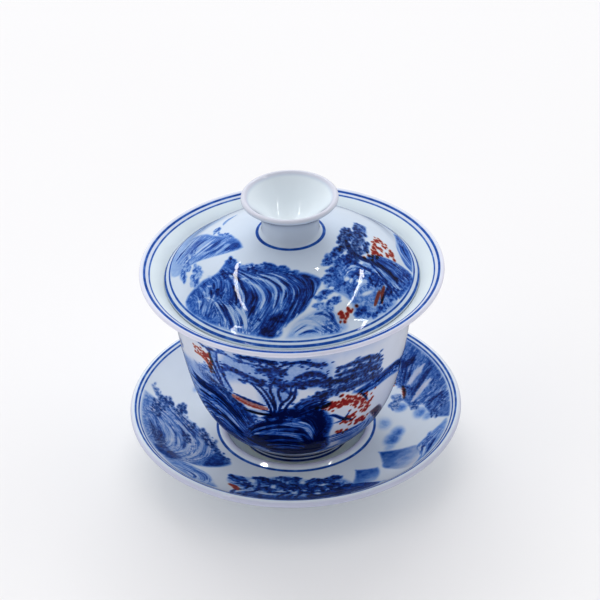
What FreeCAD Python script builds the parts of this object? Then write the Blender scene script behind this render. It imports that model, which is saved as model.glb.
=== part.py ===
import FreeCAD, Part
import math
import os

# A covered tea bowl (gaiwan): a saucer, a flared bowl and a domed lid, each one piece of glazed porcelain.
# All three are solids of revolution about Z. The bowl's foot stands in the saucer's well, and the lid's edge
# rests on the inside of the bowl's flare. The origin is the centre of the saucer's foot ring, on the table,
# with +Z up. Lengths are millimetres. Angles are degrees, measured from the outward (radial) direction.

# Driving dimensions.
RIM_RADIUS = 49.95  # the bowl's lip, at its widest
LID_RADIUS = 41.9  # the lid's edge, at its widest
SAUCER_RADIUS = 55.8  # the saucer's lip, at its widest
KNOB_RADIUS = 15.8  # the lip of the lid's hollow knob
BOWL_HEIGHT = 67.4  # foot to lip, the bowl alone
REST_GAP = 0.03  # left between pieces that rest on one another, so that their solids never overlap
SEAT_STEP = 0.01  # how finely the lid's resting height is found

# Saucer: a dished flange round a raised bead, with a well inside it for the bowl's foot.
FOOT_RING_OUTER = 24.4
FOOT_RING_INNER = 21.4
FOOT_RING_EDGE = 0.7  # rounding of the ring's two lower edges
FOOT_HOLLOW = 2.3  # height of the saucer's underside inside the ring
WELL_FLOOR = 5.0
WELL_RADIUS = 23.5
WELL_CORNER = 1.2
BEAD_RADIUS = 1.2  # the bead's own section
BEAD_TOP = 9.3
FLANGE_START = 26.8
FLANGE_HEIGHT = 8.0
FLANGE_ARC = 48.3  # radius of the flange's dished section
FLANGE_START_SLOPE = 2.0
SAUCER_LIP = 1.25  # half the saucer's thickness at its lip
SAUCER_WALL = 3.0  # thickness of the flange beside the foot ring
UNDER_LIP_SLOPE = 44.0  # the underside is a little steeper than the top where it meets the lip

# Bowl, with heights from its own foot.
BOWL_FOOT_OUTER = 18.4
BOWL_FOOT_INNER = 15.6
BOWL_FOOT_EDGE = 0.6
BOWL_FOOT_LEAN = 76.0  # the foot's outside leans outwards as it rises
BOWL_FOOT_TOP = (19.05, 3.4)  # (radius, height)
BOWL_FOOT_DEPTH = 2.8  # hollow under the bowl, inside its foot
BOWL_LIP = 0.95  # half the wall's thickness at the lip
BOWL_LIP_SLOPE = 28.0
BOWL_WALL_AT_FOOT = 3.0
BOWL_SIDE_SLOPE = 44.0  # of the side where it leaves the foot
BOWL_SIDE_START = (20.2, 4.2)  # (radius, height)
BOWL_SIDE = [(24.4, 8.0), (31.9, 18.6), (35.6, 30.0), (38.1, 43.0), (40.2, 55.0), (43.3, 61.7)]
BOWL_FLOOR = 6.2  # the lowest point inside
BOWL_FLOOR_SIDE = (12.0, 7.3)

# Lid, with heights from the centre of its edge's rounding.
LID_EDGE = 0.95  # half the lid's thickness at its edge
LID_EDGE_SLOPE = 50.0
LID_WALL = 2.4  # thickness of the dome beside the knob
LID_DOME = [(38.0, 3.6), (34.0, 7.1), (27.0, 11.5), (18.0, 15.1), (10.6, 17.3)]  # (radius, height)
LID_TOP_SLOPE = 14.0
LID_HOLLOW = 16.2  # the highest point underneath
NECK_RADIUS = 9.4
NECK_LOW = 18.8
NECK_HIGH = 22.2  # where the neck starts to flare into the knob
KNOB_LIP = 0.9  # half the knob's thickness at its lip
KNOB_HEIGHT = 30.2  # centre of the knob's lip rounding
KNOB_FLARE_SLOPE = 42.0
KNOB_FLOOR = 20.6  # the lowest point inside the hollow knob
KNOB_FLOOR_SIDE = (6.4, 23.2)


def at(radius, height):
    return FreeCAD.Vector(radius, 0, height)


def polar(centre, radius, angle):
    """The point at an angle on a circle in the outline's plane."""
    turn = math.radians(angle)
    return centre + at(radius * math.cos(turn), radius * math.sin(turn))


def spline(points, start_angle, end_angle):
    """A smooth curve through points that leaves and arrives in the given directions."""
    start, end = (polar(at(0, 0), 1.0, angle) for angle in (start_angle, end_angle))
    curve = Part.BSplineCurve()
    curve.interpolate(Points=points, InitialTangent=start, FinalTangent=end, Scale=False)
    return curve


def inside_points(curve, first_wall, last_wall):
    """Points to the left of a curve, at a distance that changes evenly from its start to its end."""
    points = []
    for share in (0.1, 0.2, 0.35, 0.5, 0.65, 0.8, 0.9):
        along = curve.FirstParameter + share * (curve.LastParameter - curve.FirstParameter)
        tangent = curve.tangent(along)[0]
        wall = first_wall + share * (last_wall - first_wall)
        points.append(curve.value(along) + at(-tangent.z, tangent.x) * wall)
    return points


class Outline:
    """One piece's half section, drawn edge after edge from a starting point on the axis and back to it."""

    def __init__(self, height):
        self.start = self.here = at(0, height)
        self.edges = []

    def add(self, edge, end):
        self.edges.append(edge)
        self.here = end

    def line(self, end):
        if (end - self.here).Length > 1e-6:
            self.add(Part.makeLine(self.here, end), end)

    def arc(self, centre, radius, from_angle, to_angle):
        """An arc about centre, after a straight line to its start where there is a gap."""
        angles = (from_angle, (from_angle + to_angle) / 2, to_angle)
        begin, middle, end = (polar(centre, radius, angle) for angle in angles)
        self.line(begin)
        self.add(Part.Arc(self.here, middle, end).toShape(), end)

    def curve(self, points, start_angle, end_angle):
        self.add(spline([self.here, *points], start_angle, end_angle).toShape(), points[-1])

    def foot_ring(self, base, outer, inner, edge, lean, inner_top):
        """The hollow inside a foot ring, the ring's inner wall, and its base up to the leaning outer wall."""
        self.line(at(inner, inner_top))
        self.arc(at(inner + edge, base + edge), edge, 180, 270)
        self.arc(at(outer - edge, base + edge), edge, 270, 270 + lean)

    def solid(self):
        self.line(self.start)
        face = Part.Face(Part.Wire(self.edges))
        return face.revolve(at(0, 0), FreeCAD.Vector(0, 0, 1), 360)


def saucer():
    arc_centre = polar(at(FLANGE_START, FLANGE_HEIGHT), FLANGE_ARC, 90 + FLANGE_START_SLOPE)
    lip_reach = (SAUCER_RADIUS - SAUCER_LIP - arc_centre.x) / (FLANGE_ARC + SAUCER_LIP)
    rim_slope = math.degrees(math.asin(lip_reach))
    lip_centre = polar(arc_centre, FLANGE_ARC + SAUCER_LIP, 270 + rim_slope)
    under_lip = polar(lip_centre, SAUCER_LIP, 270 + UNDER_LIP_SLOPE)
    middle_slope = (rim_slope + FLANGE_START_SLOPE) / 2
    middle = polar(arc_centre, FLANGE_ARC + SAUCER_WALL, 270 + middle_slope)
    ring_side = polar(arc_centre, FLANGE_ARC + SAUCER_WALL, 270 + FLANGE_START_SLOPE)
    bead_centre = at(WELL_RADIUS + BEAD_RADIUS, BEAD_TOP - BEAD_RADIUS)

    half = Outline(FOOT_HOLLOW)
    half.foot_ring(0, FOOT_RING_OUTER, FOOT_RING_INNER, FOOT_RING_EDGE, 90, FOOT_HOLLOW)
    half.line(at(FOOT_RING_OUTER, ring_side.z - (ring_side.x - FOOT_RING_OUTER)))
    half.curve([ring_side], 90, FLANGE_START_SLOPE)
    half.curve([middle, under_lip], FLANGE_START_SLOPE, UNDER_LIP_SLOPE)
    half.arc(lip_centre, SAUCER_LIP, UNDER_LIP_SLOPE - 90, rim_slope + 90)
    half.arc(arc_centre, FLANGE_ARC, 270 + rim_slope, 270 + FLANGE_START_SLOPE)
    half.curve([polar(bead_centre, BEAD_RADIUS, 45)], 180 + FLANGE_START_SLOPE, 135)
    half.arc(bead_centre, BEAD_RADIUS, 45, 180)
    half.arc(at(WELL_RADIUS - WELL_CORNER, WELL_FLOOR + WELL_CORNER), WELL_CORNER, 0, -90)
    half.line(at(0, WELL_FLOOR))
    return half.solid()


def bowl_side(base):
    """The bowl's outer and inner side curves, and the centre of its lip's rounding."""
    lip_centre = at(RIM_RADIUS - BOWL_LIP, base + BOWL_HEIGHT - BOWL_LIP)
    side = [at(radius, base + height) for radius, height in [BOWL_SIDE_START, *BOWL_SIDE]]
    side.append(polar(lip_centre, BOWL_LIP, BOWL_LIP_SLOPE - 90))
    outer = spline(side, BOWL_SIDE_SLOPE, BOWL_LIP_SLOPE)
    inside = inside_points(outer, BOWL_WALL_AT_FOOT, 2 * BOWL_LIP)
    inside.reverse()
    inside = [polar(lip_centre, BOWL_LIP, BOWL_LIP_SLOPE + 90), *inside]
    inside.append(at(BOWL_FLOOR_SIDE[0], base + BOWL_FLOOR_SIDE[1]))
    inside.append(at(0, base + BOWL_FLOOR))
    return outer, spline(inside, 180 + BOWL_LIP_SLOPE, 180), lip_centre


def bowl(base):
    outer, inner, lip_centre = bowl_side(base)
    hollow = base + BOWL_FOOT_DEPTH
    half = Outline(hollow)
    half.foot_ring(base, BOWL_FOOT_OUTER, BOWL_FOOT_INNER, BOWL_FOOT_EDGE, BOWL_FOOT_LEAN, hollow)
    foot_top = at(BOWL_FOOT_TOP[0], base + BOWL_FOOT_TOP[1])
    half.curve([foot_top, outer.StartPoint], BOWL_FOOT_LEAN, BOWL_SIDE_SLOPE)
    half.add(outer.toShape(), outer.EndPoint)
    half.arc(lip_centre, BOWL_LIP, BOWL_LIP_SLOPE - 90, BOWL_LIP_SLOPE + 90)
    half.add(inner.toShape(), inner.EndPoint)
    return half.solid()


def lid_seat(base):
    """The height at which the lid's edge, let down from the lip, comes to rest inside the bowl's flare."""
    wall = bowl_side(base)[1].toShape()

    def is_clear(height):
        edge_centre = Part.Vertex(at(LID_RADIUS - LID_EDGE, height))
        return edge_centre.distToShape(wall)[0] > LID_EDGE + REST_GAP

    height = base + BOWL_HEIGHT
    while is_clear(height - SEAT_STEP):
        height -= SEAT_STEP
    return height


def lid(seat):
    edge_centre = at(LID_RADIUS - LID_EDGE, seat)
    edge_top = polar(edge_centre, LID_EDGE, 90 - LID_EDGE_SLOPE)
    dome_points = [edge_top] + [at(radius, seat + height) for radius, height in LID_DOME]
    dome = spline(dome_points, 180 - LID_EDGE_SLOPE, 180 - LID_TOP_SLOPE)
    underside = inside_points(dome, 2 * LID_EDGE, LID_WALL)
    underside.reverse()
    edge_low = polar(edge_centre, LID_EDGE, 270 - LID_EDGE_SLOPE)
    knob_centre = at(KNOB_RADIUS - KNOB_LIP, seat + KNOB_HEIGHT)

    half = Outline(seat + LID_HOLLOW)
    half.curve([*underside, edge_low], 0, -LID_EDGE_SLOPE)
    half.arc(edge_centre, LID_EDGE, -90 - LID_EDGE_SLOPE, 90 - LID_EDGE_SLOPE)
    half.add(dome.toShape(), dome.EndPoint)
    half.curve([at(NECK_RADIUS, seat + NECK_LOW)], 180 - LID_TOP_SLOPE, 90)
    half.line(at(NECK_RADIUS, seat + NECK_HIGH))
    half.curve([polar(knob_centre, KNOB_LIP, KNOB_FLARE_SLOPE - 90)], 90, KNOB_FLARE_SLOPE)
    half.arc(knob_centre, KNOB_LIP, KNOB_FLARE_SLOPE - 90, KNOB_FLARE_SLOPE + 90)
    floor_side = at(KNOB_FLOOR_SIDE[0], seat + KNOB_FLOOR_SIDE[1])
    half.curve([floor_side, at(0, seat + KNOB_FLOOR)], 180 + KNOB_FLARE_SLOPE, 180)
    return half.solid()


def main():
    os.makedirs("parts", exist_ok=True)
    bowl_base = WELL_FLOOR + REST_GAP
    pieces = {
        "saucer": saucer(),
        "bowl": bowl(bowl_base),
        "lid": lid(lid_seat(bowl_base)),
    }
    for name, shape in pieces.items():
        shape.exportStep(f"parts/{name}.step")


main()
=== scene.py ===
import math

import bpy
import numpy as np
from mathutils import Matrix, Vector


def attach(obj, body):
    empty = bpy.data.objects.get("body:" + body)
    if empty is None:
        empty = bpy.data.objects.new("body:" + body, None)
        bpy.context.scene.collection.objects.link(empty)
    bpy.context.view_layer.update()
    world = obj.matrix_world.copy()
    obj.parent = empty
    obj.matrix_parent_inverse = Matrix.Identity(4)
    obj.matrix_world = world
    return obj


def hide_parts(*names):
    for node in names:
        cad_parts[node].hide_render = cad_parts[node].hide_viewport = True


# A covered tea bowl on its saucer, in glazed porcelain painted under the glaze with a cobalt landscape and
# touches of iron red. Each piece is turned from its CAD section, so it keeps the CAD's shape exactly.
#
# A painting is built from brush marks placed on its piece by angle and level. Angles are degrees about the
# axis from the front (-Y), positive towards +X. A level is millimetres: the height above the table on the
# bowl, and the distance from the axis on the lid and the saucer, where the painting's ground is at the rim.

MM = 0.001
COLUMNS = 560  # facets round each piece
PAINT_ROW = 0.42  # mm between a painted surface's rows
PLAIN_ROW = 1.6  # mm between a plain surface's rows, at most
CORNER = math.radians(50)  # a sharper turn in a section is a corner and stays one
FIELDS = ("ink", "grain", "leafy", "red", "flow_across", "flow_along")

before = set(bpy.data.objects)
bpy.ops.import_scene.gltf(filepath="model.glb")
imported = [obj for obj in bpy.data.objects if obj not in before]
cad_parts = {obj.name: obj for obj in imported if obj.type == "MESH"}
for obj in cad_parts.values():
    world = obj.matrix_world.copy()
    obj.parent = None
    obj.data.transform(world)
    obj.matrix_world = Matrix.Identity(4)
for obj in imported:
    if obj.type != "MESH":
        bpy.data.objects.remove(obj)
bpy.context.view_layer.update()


# ---------------------------------------------------------------- sections and turned meshes

def seam_points(node):
    """The CAD node's half section in mm, as (radius, height), from the axis underneath to the axis on top."""
    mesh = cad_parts[node].data
    places = np.array([vertex.co for vertex in mesh.vertices]) / MM
    on_seam = (np.abs(places[:, 1]) < 1e-3) & (places[:, 0] > -1e-3)
    keys = [tuple(np.round(place[[0, 2]], 3)) for place in places]
    near = {}
    for edge in mesh.edges:
        a, b = edge.vertices
        if on_seam[a] and on_seam[b] and keys[a] != keys[b]:
            near.setdefault(keys[a], set()).add(keys[b])
            near.setdefault(keys[b], set()).add(keys[a])
    ends = sorted((key for key, others in near.items() if len(others) == 1), key=lambda key: key[1])
    path = [ends[0]]
    previous = None
    while path[-1] != ends[-1]:
        onward = [key for key in near[path[-1]] if key != previous]
        previous = path[-1]
        path.append(onward[0])
    if path[0][0] > 0.01:
        path.insert(0, (0.0, path[0][1]))
    if path[-1][0] > 0.01:
        path.append((0.0, path[-1][1]))
    return np.array(path, float)


def turned_section(points, painted):
    """The section's points with a smooth curve run through them, closer together where it is painted."""
    steps = np.diff(points, axis=0)
    lengths = np.hypot(*steps.T)
    ways = steps / lengths[:, None]
    turns = np.arccos(np.clip((ways[:-1] * ways[1:]).sum(1), -1, 1))
    smooth = (ways[:-1] * lengths[1:, None] + ways[1:] * lengths[:-1, None])
    smooth /= np.maximum(np.hypot(*smooth.T), 1e-9)[:, None]
    leave = ways.copy()
    arrive = ways.copy()
    soft = turns < CORNER
    leave[1:][soft] = smooth[soft]
    arrive[:-1][soft] = smooth[soft]
    rows = [points[:1]]
    for i, length in enumerate(lengths):
        step = PAINT_ROW if painted[0] <= i < painted[1] else PLAIN_ROW
        count = max(1 if length < 0.25 else 2, math.ceil(length / step))
        t = (np.arange(1, count + 1) / count)[:, None]
        rows.append(
            points[i] * (1 + 2 * t) * (1 - t) ** 2
            + leave[i] * length * t * (1 - t) ** 2
            + points[i + 1] * t**2 * (3 - 2 * t)
            + arrive[i] * length * t**2 * (t - 1)
        )
    section = np.concatenate(rows)
    section[0, 0] = section[-1, 0] = 0.0
    counts = np.cumsum([len(row) for row in rows]) - 1
    return section, range(counts[painted[0]], counts[painted[1]] + 1)


def stretch(points, begins, ends):
    """The part of a section from the first point that begins it to the first later one that ends it."""
    first = next(i for i, point in enumerate(points) if begins(*point))
    last = next(i for i, point in enumerate(points) if i > first and ends(*point))
    return first, last


def path_lengths(section):
    return np.concatenate([[0.0], np.cumsum(np.hypot(*np.diff(section, axis=0).T))])


def turned_mesh(name, section, fields):
    """A closed mesh turned from the section, carrying the painting's fields on its vertices."""
    rings = section[1:-1]
    angles = column_angles()
    across = np.sin(np.radians(angles))
    front = -np.cos(np.radians(angles))
    ring = np.empty((len(rings), COLUMNS, 3))
    ring[..., 0] = rings[:, 0, None] * across
    ring[..., 1] = rings[:, 0, None] * front
    ring[..., 2] = rings[:, 1, None]
    poles = [(0, 0, section[0, 1]), (0, 0, section[-1, 1])]
    places = np.concatenate([ring.reshape(-1, 3), poles]) * MM
    low_pole, high_pole = len(places) - 2, len(places) - 1
    column = np.arange(COLUMNS)
    beside = (column + 1) % COLUMNS
    base = np.arange(len(rings) - 1)[:, None] * COLUMNS
    quads = np.stack([base + column, base + beside, base + COLUMNS + beside, base + COLUMNS + column], -1)
    faces = quads.reshape(-1, 4).tolist()
    last = (len(rings) - 1) * COLUMNS
    faces += [(low_pole, int(b), int(a)) for a, b in zip(column, beside)]
    faces += [(high_pole, int(last + a), int(last + b)) for a, b in zip(column, beside)]
    mesh = bpy.data.meshes.new(name)
    mesh.from_pydata(places.tolist(), [], faces)
    mesh.polygons.foreach_set("use_smooth", np.ones(len(mesh.polygons), bool))
    lengths = path_lengths(section)
    path = np.repeat(lengths[1:-1], COLUMNS)
    values = {"path": np.concatenate([path, lengths[[0, -1]]])}
    for field in FIELDS:
        values[field] = np.concatenate([fields[field].ravel(), [0, 0]])
    for field, numbers in values.items():
        attribute = mesh.attributes.new(field, "FLOAT", "POINT")
        attribute.data.foreach_set("value", numbers.astype(np.float32))
    piece = bpy.data.objects.new(name, mesh)
    bpy.context.scene.collection.objects.link(piece)
    return piece


def column_angles():
    return np.arange(COLUMNS) * 360 / COLUMNS - 180


# ---------------------------------------------------------------- brush

def around(angle):
    """An angle brought between -180 and 180."""
    return (angle + 180) % 360 - 180


def smoothstep(value):
    value = np.clip(value, 0, 1)
    return value * value * (3 - 2 * value)


def through(points, pieces=6):
    """Points on a smooth line through the given ones."""
    points = np.array(points, float)
    if len(points) < 3:
        return points
    ends = np.concatenate([2 * points[:1] - points[1:2], points, 2 * points[-1:] - points[-2:-1]])
    t = (np.arange(pieces) / pieces)[:, None]
    line = []
    for a, b, c, d in zip(ends, ends[1:], ends[2:], ends[3:]):
        square = (a - 2.5 * b + 2 * c - d / 2) * t**2
        line.append(b + (c - a) * t / 2 + square + (1.5 * (b - c) + (d - a) / 2) * t**3)
    return np.concatenate([*line, points[-1:]])


def gap_to(x, y, x0, y0, x1, y1):
    """How far each place is from the line between two points."""
    dx, dy = x1 - x0, y1 - y0
    t = np.clip(((x - x0) * dx + (y - y0) * dy) / max(dx * dx + dy * dy, 1e-9), 0, 1)
    return np.hypot(x - x0 - t * dx, y - y0 - t * dy)


class Painting:
    """Brush marks on one piece's painted side: a field is a grid of the piece's rings and columns."""

    def __init__(self, section, side, level_axis, seed):
        self.fields = {field: np.zeros((len(section) - 2, COLUMNS)) for field in FIELDS}
        self.side = np.array(side) - 1
        self.radii = section[side, 0]
        self.ups = path_lengths(section)[side]
        levels = section[side, level_axis]
        order = np.argsort(levels)
        self.sorted_levels = levels[order]
        self.sorted_ups = self.ups[order]
        self.sorted_radii = self.radii[order]
        self.ladder = (self.ups, levels)
        self.angles = column_angles()
        self.random = np.random.default_rng(seed)

    def up_of(self, level):
        return np.interp(level, self.sorted_levels, self.sorted_ups)

    def radius_of(self, level):
        return np.interp(level, self.sorted_levels, self.sorted_radii)

    def place(self, angle, level, across, up):
        """The (angle, level) a number of mm across and up from another."""
        there = np.interp(self.up_of(level) + up, *self.ladder)
        return angle + math.degrees(across / self.radius_of(level)), there

    def window(self, angle, level, reach_across, reach_up):
        """The cells near a place, and how far each is across and up from it in mm."""
        up = self.ups - self.up_of(level)
        rows = np.flatnonzero(np.abs(up) <= reach_up)
        if not len(rows):
            return None
        turn = np.radians(around(self.angles - angle))
        columns = np.flatnonzero(np.abs(turn) * self.radii[rows].min() <= reach_across)
        if not len(columns):
            return None
        cells = np.ix_(self.side[rows], columns)
        across = self.radii[rows][:, None] * turn[columns]
        return cells, across, np.broadcast_to(up[rows][:, None], across.shape)

    def lay(self, cells, cover, **marks):
        """Lay marks over what is there, as far as the cover goes."""
        for field, value in marks.items():
            grid = self.fields[field]
            old = grid[cells]
            grid[cells] = old + (value - old) * cover

    def deepen(self, cells, cover, **marks):
        """Lay marks only where they are stronger than what is there."""
        for field, value in marks.items():
            grid = self.fields[field]
            grid[cells] = np.maximum(grid[cells], value * cover)

    def dab(self, angle, level, wide, tall, tilt=0.0, soft=0.5, over=False, **marks):
        """One oval touch of the brush, wide and tall in mm, tilted in degrees."""
        reach = max(wide, tall)
        found = self.window(angle, level, reach, reach)
        if found is None:
            return
        cells, x, y = found
        turn = math.radians(tilt)
        along = (x * math.cos(turn) + y * math.sin(turn)) / (wide / 2)
        beside = (y * math.cos(turn) - x * math.sin(turn)) / (tall / 2)
        cover = smoothstep((1 - np.hypot(along, beside)) / soft)
        (self.lay if over else self.deepen)(cells, cover, **marks)

    def stroke(self, points, width, ends=(0.3, 0.1), over=False, soft=0.35, **marks):
        """A brush line through (angle, level) points, width mm wide and tapering to a share of it."""
        line = through(points)
        share = np.linspace(0, 1, len(line))
        swell = np.interp(share, [0, 0.35, 0.7, 1], [ends[0], 1, 1, ends[1]]) * width / 2
        for start, end, thick in zip(line, line[1:], swell):
            middle = (start + end) / 2
            span = math.radians(abs(end[0] - start[0])) * self.radius_of(middle[1]) / 2
            rise = abs(self.up_of(end[1]) - self.up_of(start[1])) / 2
            found = self.window(*middle, span + thick + soft, rise + thick + soft)
            if found is None:
                continue
            cells, x, y = found
            x1 = math.radians(end[0] - middle[0]) * self.radius_of(end[1])
            x0 = math.radians(start[0] - middle[0]) * self.radius_of(start[1])
            y0 = self.up_of(start[1]) - self.up_of(middle[1])
            y1 = self.up_of(end[1]) - self.up_of(middle[1])
            cover = smoothstep((thick + soft / 2 - gap_to(x, y, x0, y0, x1, y1)) / soft)
            (self.lay if over else self.deepen)(cells, cover, **marks)

    def strokes(self, lines, width, *brush, **marks):
        """Brush lines alike in everything but their points."""
        for line in lines:
            self.stroke(line, width, *brush, **marks)

    def wash(self, outline, foot, top, soft=0.8, **marks):
        """A tint inside a smooth outline of (angle, level) points, its strength running from foot to top."""
        line = through([*outline, outline[0]])
        angle = (line[:, 0].min() + line[:, 0].max()) / 2
        ups = self.up_of(line[:, 1])
        radii = self.radius_of(line[:, 1])
        reach = np.abs(np.radians(line[:, 0] - angle) * radii).max() + 2
        level = line[np.argmin(np.abs(ups - (ups.min() + ups.max()) / 2)), 1]
        cells, x, y = self.window(angle, level, reach * 1.6, (ups.max() - ups.min()) / 2 + 3)
        px = np.radians(line[:, 0] - angle) * radii
        py = ups - self.up_of(level)
        inside = np.zeros(x.shape, bool)
        gap = np.full(x.shape, 1e9)
        for x0, y0, x1, y1 in zip(px, py, px[1:], py[1:]):
            gap = np.minimum(gap, gap_to(x, y, x0, y0, x1, y1))
            if y0 != y1:
                crosses = (y0 > y) != (y1 > y)
                inside ^= crosses & (x < (x1 - x0) * (y - y0) / (y1 - y0) + x0)
        cover = smoothstep((np.where(inside, gap, -gap) + soft / 2) / soft)
        rise = np.clip((y - py.min()) / (py.max() - py.min()), 0, 1)
        self.deepen(cells, cover, ink=foot + (top - foot) * rise, **marks)

    def foliage(self, angle, level, wide, tall, ink=1.3, red=0.0, leafy=0.75):
        """A cloud of leaves: a soft wash with touches of the brush heaped over it, darker towards its top."""
        under = {"ink": ink * 0.7, "leafy": leafy * 0.8, "red": red * 0.6}
        self.dab(angle, level, wide * 1.15, tall * 1.35, 0, 0.8, **under)
        for _ in range(int(5 + wide * tall / 1.3)):
            turn = self.random.uniform(0, 2 * math.pi)
            reach = self.random.uniform(0, 1) ** 0.6
            across = math.cos(turn) * reach * wide / 2
            up = math.sin(turn) * reach * tall / 2
            size = self.random.uniform(1.1, 2.2)
            spot = self.place(angle, level, across, up)
            shade = ink * self.random.uniform(0.7, 1.2) * (1 + 0.25 * up / tall)
            tilt = self.random.uniform(-25, 25)
            self.dab(*spot, size * 1.8, size, tilt, 0.85, ink=shade, leafy=leafy, red=red)

    def grove(self, clumps, **marks):
        """Clouds of leaves, each (angle, level, wide, tall) and, where they differ, its ink."""
        for clump in clumps:
            self.foliage(*clump, **marks)

    def canopy(self, points, tall, ink=1.8, leafy=0.5, size=1.0, **marks):
        """A bough of needles: a soft dark band with small touches scattered over and round it."""
        self.stroke(points, tall * 0.8, (0.6, 0.4), soft=tall * 0.5, ink=ink * 0.72, leafy=leafy, **marks)
        line = through(points, 10)
        reach = math.radians(line[:, 0].max() - line[:, 0].min()) * self.radius_of(line[:, 1]).mean()
        for _ in range(int(4 + reach * tall * 0.9 / size)):
            spot = line[self.random.integers(len(line))]
            across, up = self.random.normal(0, 0.36, 2) * (2.4, tall)
            touch = size * self.random.uniform(0.6, 1.3)
            shade = ink * self.random.uniform(0.6, 1.2)
            tilt = self.random.uniform(-25, 25)
            spot = self.place(*spot, across, up)
            self.dab(*spot, touch * 2.4, touch * 1.3, tilt, 1.0, ink=shade * 1.2, leafy=leafy, **marks)

    def boughs(self, boughs, **marks):
        """Boughs of needles, each (points, tall, ink)."""
        for bough in boughs:
            self.canopy(*bough, **marks)

    def comb(self, first, last, grain):
        """Turn the brush's grain between two guide lines, so that it runs along with them."""
        first = through(first, 20)
        last = through(last, 20)
        across = np.linspace(-0.12, 1.12, 240)[:, None]
        angles = first[:, 0] + (last[:, 0] - first[:, 0]) * across
        levels = first[:, 1] + (last[:, 1] - first[:, 1]) * across
        ups = self.up_of(levels)
        wide = np.radians(angles) * self.radius_of(levels)
        run = np.cumsum(np.hypot(np.diff(wide), np.diff(ups)), 1)
        along = np.concatenate([np.zeros((len(across), 1)), run], 1)
        run = np.cumsum(np.hypot(np.diff(wide, axis=0), np.diff(ups, axis=0)), 0)
        aside = np.concatenate([np.zeros((1, along.shape[1])), run])
        aside = np.broadcast_to(aside.mean(1, keepdims=True), along.shape)
        rows = self.side[np.rint(np.interp(ups, self.ups, np.arange(len(self.ups)))).astype(int)]
        columns = np.rint((angles + 180) * COLUMNS / 360).astype(int) % COLUMNS
        cells = (rows * COLUMNS + columns).ravel()
        size = self.fields["ink"].size
        hits = np.bincount(cells, minlength=size)
        combed = hits > 0
        for field, values in (("flow_across", aside), ("flow_along", along)):
            total = np.bincount(cells, values.ravel(), minlength=size)
            self.fields[field].ravel()[combed] = total[combed] / hits[combed]
        self.fields["grain"].ravel()[combed] = grain

    def ribs(self, first, last, count, width, ink, bare=0.15, share=0.45, sway=0.3, grain=0.9, **marks):
        """Brush lines alongside two guide lines and between them: dark ones, and a share of bare ones."""
        self.comb(first, last, grain)
        first = np.array(first, float)
        last = np.array(last, float)
        for step in range(count):
            way = (step + self.random.uniform(0.1, 0.9)) / count
            line = first + (last - first) * way + self.random.normal(0, sway, first.shape) * (1.4, 0.6)
            start = self.random.uniform(0, 0.35)
            end = self.random.uniform(0.65, 1.0)
            line = through(line)
            line = line[np.linspace(start * (len(line) - 1), end * (len(line) - 1), 6).astype(int)]
            thick = width * self.random.uniform(0.45, 1.3)
            if self.random.uniform() < share:
                shade = bare * self.random.uniform(0.8, 2.0)
                self.stroke(line, thick * 0.8, (0.2, 0.1), True, 0.7, ink=shade, leafy=0.0)
            else:
                shade = ink * self.random.uniform(0.7, 1.25)
                self.stroke(line, thick, (0.2, 0.1), False, 0.7, ink=shade, **marks)

    def leaves(self, angle, level, wide, tall, count, red=1.0, size=1.0):
        """Scattered red leaves, each one small touch."""
        for _ in range(count):
            across, up = self.random.normal(0, 0.24, 2) * (wide, tall)
            spot = self.place(angle, level, across, up)
            reach = size * self.random.uniform(0.55, 1.1)
            tilt = self.random.uniform(-40, 40)
            self.dab(*spot, reach * 2.2, reach * 1.9, tilt, 1.0, red=red * self.random.uniform(1.3, 2.0))

    def lines(self, points, count, gap, width, ink, sway=0.4):
        """A few fine lines side by side, each a little off the last, as for water or mist."""
        for step in range(count):
            drift = self.random.uniform(-sway, sway, len(points))
            line = [self.place(a, l, 0, -gap * step + d) for (a, l), d in zip(points, drift)]
            self.stroke(line, width, (0.2, 0.2), ink=ink * self.random.uniform(0.6, 1.0))


# ---------------------------------------------------------------- the three paintings

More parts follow.
